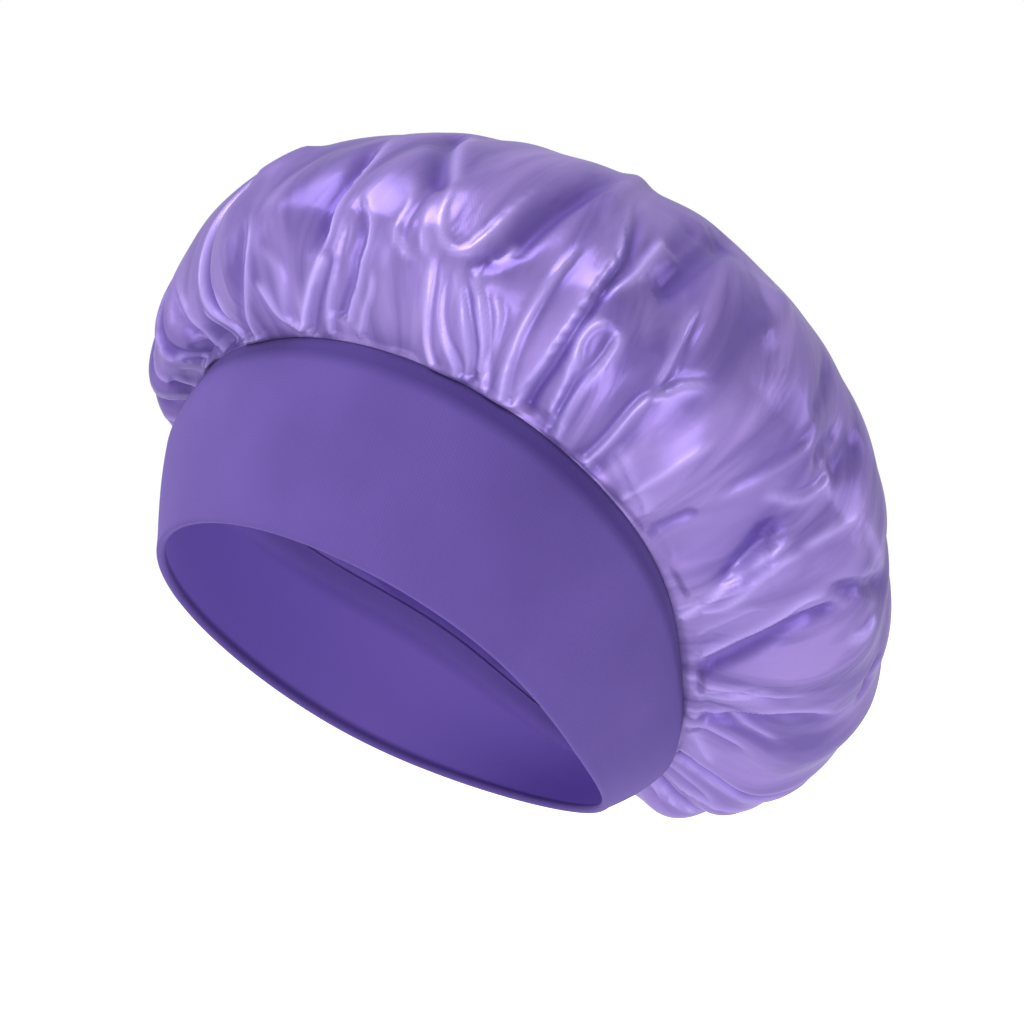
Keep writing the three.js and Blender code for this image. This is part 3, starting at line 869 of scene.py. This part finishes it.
def band_ring(up, side):
    """A ring of the band, from 0 at the rim to 1 at the seam. side is 1 outside, -1 inside, 0 in mid-wall."""
    from_seam = (1 - up) * band_rise
    shoulder = SHOULDER_HEIGHT + TEMPLE_SHOULDER * at_right_temple(band_angles)
    pulled = tucked_in(band_angles) * np.clip(1 - from_seam / shoulder, 0, 1) ** SHOULDER_POWER
    roll = ROLL * math.exp(-((up * slant.mean() / ROLL_REACH) ** 2))
    into = BAND_WALL / 2 - side * (BAND_WALL / 2 + roll)
    radius = rim_radius(band_angles) + band_run * up + BAND_BULGE * math.sin(math.pi * up) - pulled
    height = rim_height(band_angles) + band_rise * up
    level = 1 if up < 1 else 0
    return ring_points(band_angles, radius - into * out_across, height - into * out_high * level)


outer = [band_ring(row / BAND_ROWS, 1) for row in range(BAND_ROWS + 1)]
inner = [band_ring(row / BAND_ROWS, -1) for row in range(BAND_ROWS, -1, -1)]
middle = band_ring(0, 0)
across = ring_points(band_angles, out_across, out_high)
down = ring_points(band_angles, out_high, -out_across)
folded = []
for step in range(1, FOLD_STEPS):
    angle = math.pi * step / FOLD_STEPS
    folded.append(middle + (down * math.sin(angle) - across * math.cos(angle)) * (BAND_WALL / 2 + ROLL))
band_points = np.stack(outer + inner + folded + outer[:1])
across_the_sheet = np.linalg.norm(np.diff(band_points, axis=0), axis=-1).mean(1).sum()
band = wrap_sheet("band_knit", band_points)
smooth_shade(band)
print("band:", count_triangles(band), "triangles")

# %% [markdown]
# ## Satin
#
# Satin is woven so that long floats of thread lie on its face. They reflect like fine brushed metal, softly
# and in the colour of the thread, which is why a crest on it is pale lilac and never white. A coat would
# give white highlights, so the gloss comes from a part-metallic base instead. Where the cloth is drawn out
# towards the seam, long streaks of tone follow its UV map: partly the cloth's uneven colour, and partly
# painted light and shade for the soft reflections that tension gives satin. Near the top they give way to
# clouds of the same kind, or they would meet there in a star. The crests carry a painted highlight and the
# troughs painted shade. Daylight comes through such thin cloth and lights the inside, which a closed wall
# keeps out of a render, so the inner face glows a little in the cloth's own colour.

# %% Satin of the crown
# strengths of the painted highlight on crests and the painted shade in troughs
CREST_HIGHLIGHT = 0.75
TROUGH_SHADE = 0.8
LIGHT_THROUGH = 0.25
# patches per metre: streaks about 26 mm across, clouds about 60 mm, and ripples about 7 mm
STREAK_SCALE = 38.0
CLOUD_SCALE = 16.0
RIPPLE_SCALE = 150.0
# much coarser than real threads, so that the weave shows
THREAD_SPACING = 0.9 * MM
PULL_DEPTH = 4 * MM
RIPPLE_DEPTH = 1.2 * MM


def lilac_satin():
    """Woven polyester satin, lilac: soft tinted gloss, streaks and clouds of tone and painted light, a
    painted highlight on each crest and painted shade in each trough, and the finest ripple.
    """
    material, shader = new_material("lilac_satin")
    place = add_node(material, "ShaderNodeTexCoord")
    drawn_out = add_node(material, "ShaderNodeMapping", Vector=place.outputs["UV"], Scale=(1.0, 0.3, 1.0))
    streaks = add_node(material, "ShaderNodeTexNoise", Vector=drawn_out.outputs["Vector"],
                       Scale=STREAK_SCALE, Detail=3.0, Distortion=0.8)
    clouds = add_node(material, "ShaderNodeTexNoise", Vector=place.outputs["Object"],
                      Scale=CLOUD_SCALE, Detail=3.0)
    drawn = add_node(material, "ShaderNodeAttribute", {"attribute_name": "drawn"})
    pull_and_sheen = add_node(material, "ShaderNodeMixRGB", Fac=drawn.outputs["Fac"], Color1=clouds.outputs["Fac"],
                    Color2=streaks.outputs["Fac"])
    # dark to light: partly the cloth's uneven tone, partly painted light and shade of its sheen
    tone = add_node(material, "ShaderNodeValToRGB", n0=pull_and_sheen.outputs["Color"])
    tone.color_ramp.elements[0].position = 0.35
    tone.color_ramp.elements[0].color = linear("#675697")
    tone.color_ramp.elements[1].position = 0.65
    tone.color_ramp.elements[1].color = linear("#927dbe")
    # the crest and trough marks tint the colour as a painted highlight and painted shade
    crest = add_node(material, "ShaderNodeAttribute", {"attribute_name": "crest"})
    trough = add_node(material, "ShaderNodeAttribute", {"attribute_name": "trough"})
    crest_highlight_part = add_node(material, "ShaderNodeMath", {"operation": "MULTIPLY", "use_clamp": True},
                          n0=crest.outputs["Fac"], n1=CREST_HIGHLIGHT)
    trough_shade_part = add_node(material, "ShaderNodeMath", {"operation": "MULTIPLY", "use_clamp": True},
                           n0=trough.outputs["Fac"], n1=TROUGH_SHADE)
    # painted shade in the troughs
    painted_shade_mix = add_node(material, "ShaderNodeMixRGB", Fac=trough_shade_part.outputs["Value"],
                      Color1=tone.outputs["Color"], Color2=linear("#614d98"))
    # painted highlight on the crests
    painted_light_mix = add_node(material, "ShaderNodeMixRGB", Fac=crest_highlight_part.outputs["Value"],
                       Color1=painted_shade_mix.outputs["Color"], Color2=linear("#bda9f0"))
    material.node_tree.links.new(painted_light_mix.outputs["Color"], shader.inputs["Base Color"])
    ripple = add_node(material, "ShaderNodeTexNoise", Vector=place.outputs["Object"],
                      Scale=RIPPLE_SCALE, Detail=2.0)
    weave = add_node(material, "ShaderNodeTexWave", {"bands_direction": "DIAGONAL"},
                     Vector=place.outputs["UV"], Scale=wave_scale(THREAD_SPACING), Distortion=0.6)
    both = add_node(material, "ShaderNodeMath", {"operation": "MULTIPLY_ADD"},
                    n0=weave.outputs["Fac"], n1=0.04, n2=ripple.outputs["Fac"])
    pulls = add_node(material, "ShaderNodeBump", Strength=0.25, Distance=PULL_DEPTH,
                     Height=pull_and_sheen.outputs["Color"])
    relief = add_node(material, "ShaderNodeBump", Strength=0.12, Distance=RIPPLE_DEPTH,
                      Height=both.outputs["Value"], Normal=pulls.outputs["Normal"])
    material.node_tree.links.new(relief.outputs["Normal"], shader.inputs["Normal"])
    inner = add_node(material, "ShaderNodeAttribute", {"attribute_name": "inner"})
    glow = add_node(material, "ShaderNodeMath", {"operation": "MULTIPLY"},
                    n0=inner.outputs["Fac"], n1=LIGHT_THROUGH)
    material.node_tree.links.new(glow.outputs["Value"], shader.inputs["Emission Strength"])
    shader.inputs["Emission Color"].default_value = linear("#7a62b8")
    shader.inputs["Metallic"].default_value = 0.3
    shader.inputs["Roughness"].default_value = 0.34
    shader.inputs["Specular IOR Level"].default_value = 0.3
    shader.inputs["Specular Tint"].default_value = linear("#b39fe4")
    shader.inputs["Sheen Weight"].default_value = 0.12
    shader.inputs["Sheen Roughness"].default_value = 0.4
    shader.inputs["Sheen Tint"].default_value = linear("#c9bbf0")
    return material


crown.data.materials.clear()
crown.data.materials.append(lilac_satin())
print("satin on", crown.name)

# %% [markdown]
# ## Stretch knit
#
# The band is a fine rib knit of cotton and elastane: matt, with ribs about a millimetre apart that run up
# the band and rows of loops that cross them. Its short fuzz catches light at the edges of the form, which
# is sheen. The ribs follow the cloth, so they are drawn on its UV map, whose unit is the metre. Where the
# seam tucks the band in under the crown, its top is painted darker, as painted shade, and its inner side is
# painted paler, as painted light in the hollow of the band. Both tones are laid by how far across the sheet
# a point lies.

# %% Knit of the band
RIB_SPACING = 1.15 * MM
COURSE_SPACING = 0.95 * MM
KNIT_DEPTH = 0.3 * MM
# shares of the way across the sheet: up the outside, down the inside and round the fold at the rim
# where the band curves in under the crown, its top is painted darker: painted shade
SEAM_SHADE_STOPS = [(0.40, 0.0), (0.435, 0.85), (0.465, 0.35), (0.48, 0.0)]
# the inside of the band is painted paler: painted light in its hollow
INSIDE_LIGHT_STOPS = [(0.47, 0.0), (0.485, 0.15), (0.53, 0.3), (0.60, 1.0), (0.93, 1.0), (0.95, 0.0)]


def stops(material, value, places):
    """A grey ramp through the places, each a position and a value, read at the value given."""
    ramp = add_node(material, "ShaderNodeValToRGB", n0=value)
    for index, (position, grey) in enumerate(places):
        element = ramp.color_ramp.elements[index] if index < 2 else ramp.color_ramp.elements.new(position)
        element.position = position
        element.color = (grey, grey, grey, 1)
    return ramp.outputs["Color"]


def violet_knit(way_across):
    """Violet rib knit, matt: ribs and rows of loops as low relief, painted shade under the seam, painted
    light inside, fuzz at the edges.
    """
    material, shader = new_material("violet_rib_knit")
    place = add_node(material, "ShaderNodeTexCoord")
    ribs = add_node(material, "ShaderNodeTexWave", {"bands_direction": "X"},
                    Vector=place.outputs["UV"], Scale=wave_scale(RIB_SPACING), Distortion=0.3)
    courses = add_node(material, "ShaderNodeTexWave", {"bands_direction": "Y"},
                       Vector=place.outputs["UV"], Scale=wave_scale(COURSE_SPACING), Distortion=0.4)
    loops = add_node(material, "ShaderNodeMath", {"operation": "MULTIPLY_ADD"},
                     n0=courses.outputs["Fac"], n1=0.35, n2=ribs.outputs["Fac"])
    clouds = add_node(material, "ShaderNodeTexNoise", Vector=place.outputs["Object"], Scale=22.0, Detail=2.0)
    shade = add_node(material, "ShaderNodeMath", {"operation": "MULTIPLY_ADD"},
                     n0=loops.outputs["Value"], n1=0.12, n2=clouds.outputs["Fac"])
    tone = add_node(material, "ShaderNodeValToRGB", n0=shade.outputs["Value"])
    tone.color_ramp.elements[0].position = 0.3
    tone.color_ramp.elements[0].color = linear("#4c3a7e")
    tone.color_ramp.elements[1].position = 0.95
    tone.color_ramp.elements[1].color = linear("#59468e")
    across = add_node(material, "ShaderNodeSeparateXYZ", Vector=place.outputs["UV"])
    share_across = add_node(material, "ShaderNodeMath", {"operation": "DIVIDE"},
                            n0=across.outputs["Y"], n1=way_across)
    # painted shade along the top of the band, under the crown
    seam_shade = stops(material, share_across.outputs["Value"], SEAM_SHADE_STOPS)
    painted_shade_mix = add_node(material, "ShaderNodeMixRGB", Fac=seam_shade,
                      Color1=tone.outputs["Color"], Color2=linear("#3d2c70"))
    # painted light on the inner side of the band
    inside = stops(material, share_across.outputs["Value"], INSIDE_LIGHT_STOPS)
    painted_light_mix = add_node(material, "ShaderNodeMixRGB", Fac=inside,
                       Color1=painted_shade_mix.outputs["Color"], Color2=linear("#8b71ca"))
    material.node_tree.links.new(painted_light_mix.outputs["Color"], shader.inputs["Base Color"])
    relief = add_node(material, "ShaderNodeBump", Strength=0.16, Distance=KNIT_DEPTH,
                      Height=loops.outputs["Value"])
    material.node_tree.links.new(relief.outputs["Normal"], shader.inputs["Normal"])
    shader.inputs["Roughness"].default_value = 0.85
    shader.inputs["Specular IOR Level"].default_value = 0.2
    shader.inputs["Sheen Weight"].default_value = 0.25
    shader.inputs["Sheen Roughness"].default_value = 0.6
    shader.inputs["Sheen Tint"].default_value = linear("#a792d8")
    return material


band.data.materials.clear()
band.data.materials.append(violet_knit(across_the_sheet))
print("knit on", band.name)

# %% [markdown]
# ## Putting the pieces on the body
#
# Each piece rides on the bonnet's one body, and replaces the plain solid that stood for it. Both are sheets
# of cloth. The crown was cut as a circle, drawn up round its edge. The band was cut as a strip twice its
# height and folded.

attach(crown, "root")
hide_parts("crown")
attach(band, "root")
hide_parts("band")
print("pieces:", crown.name, band.name)
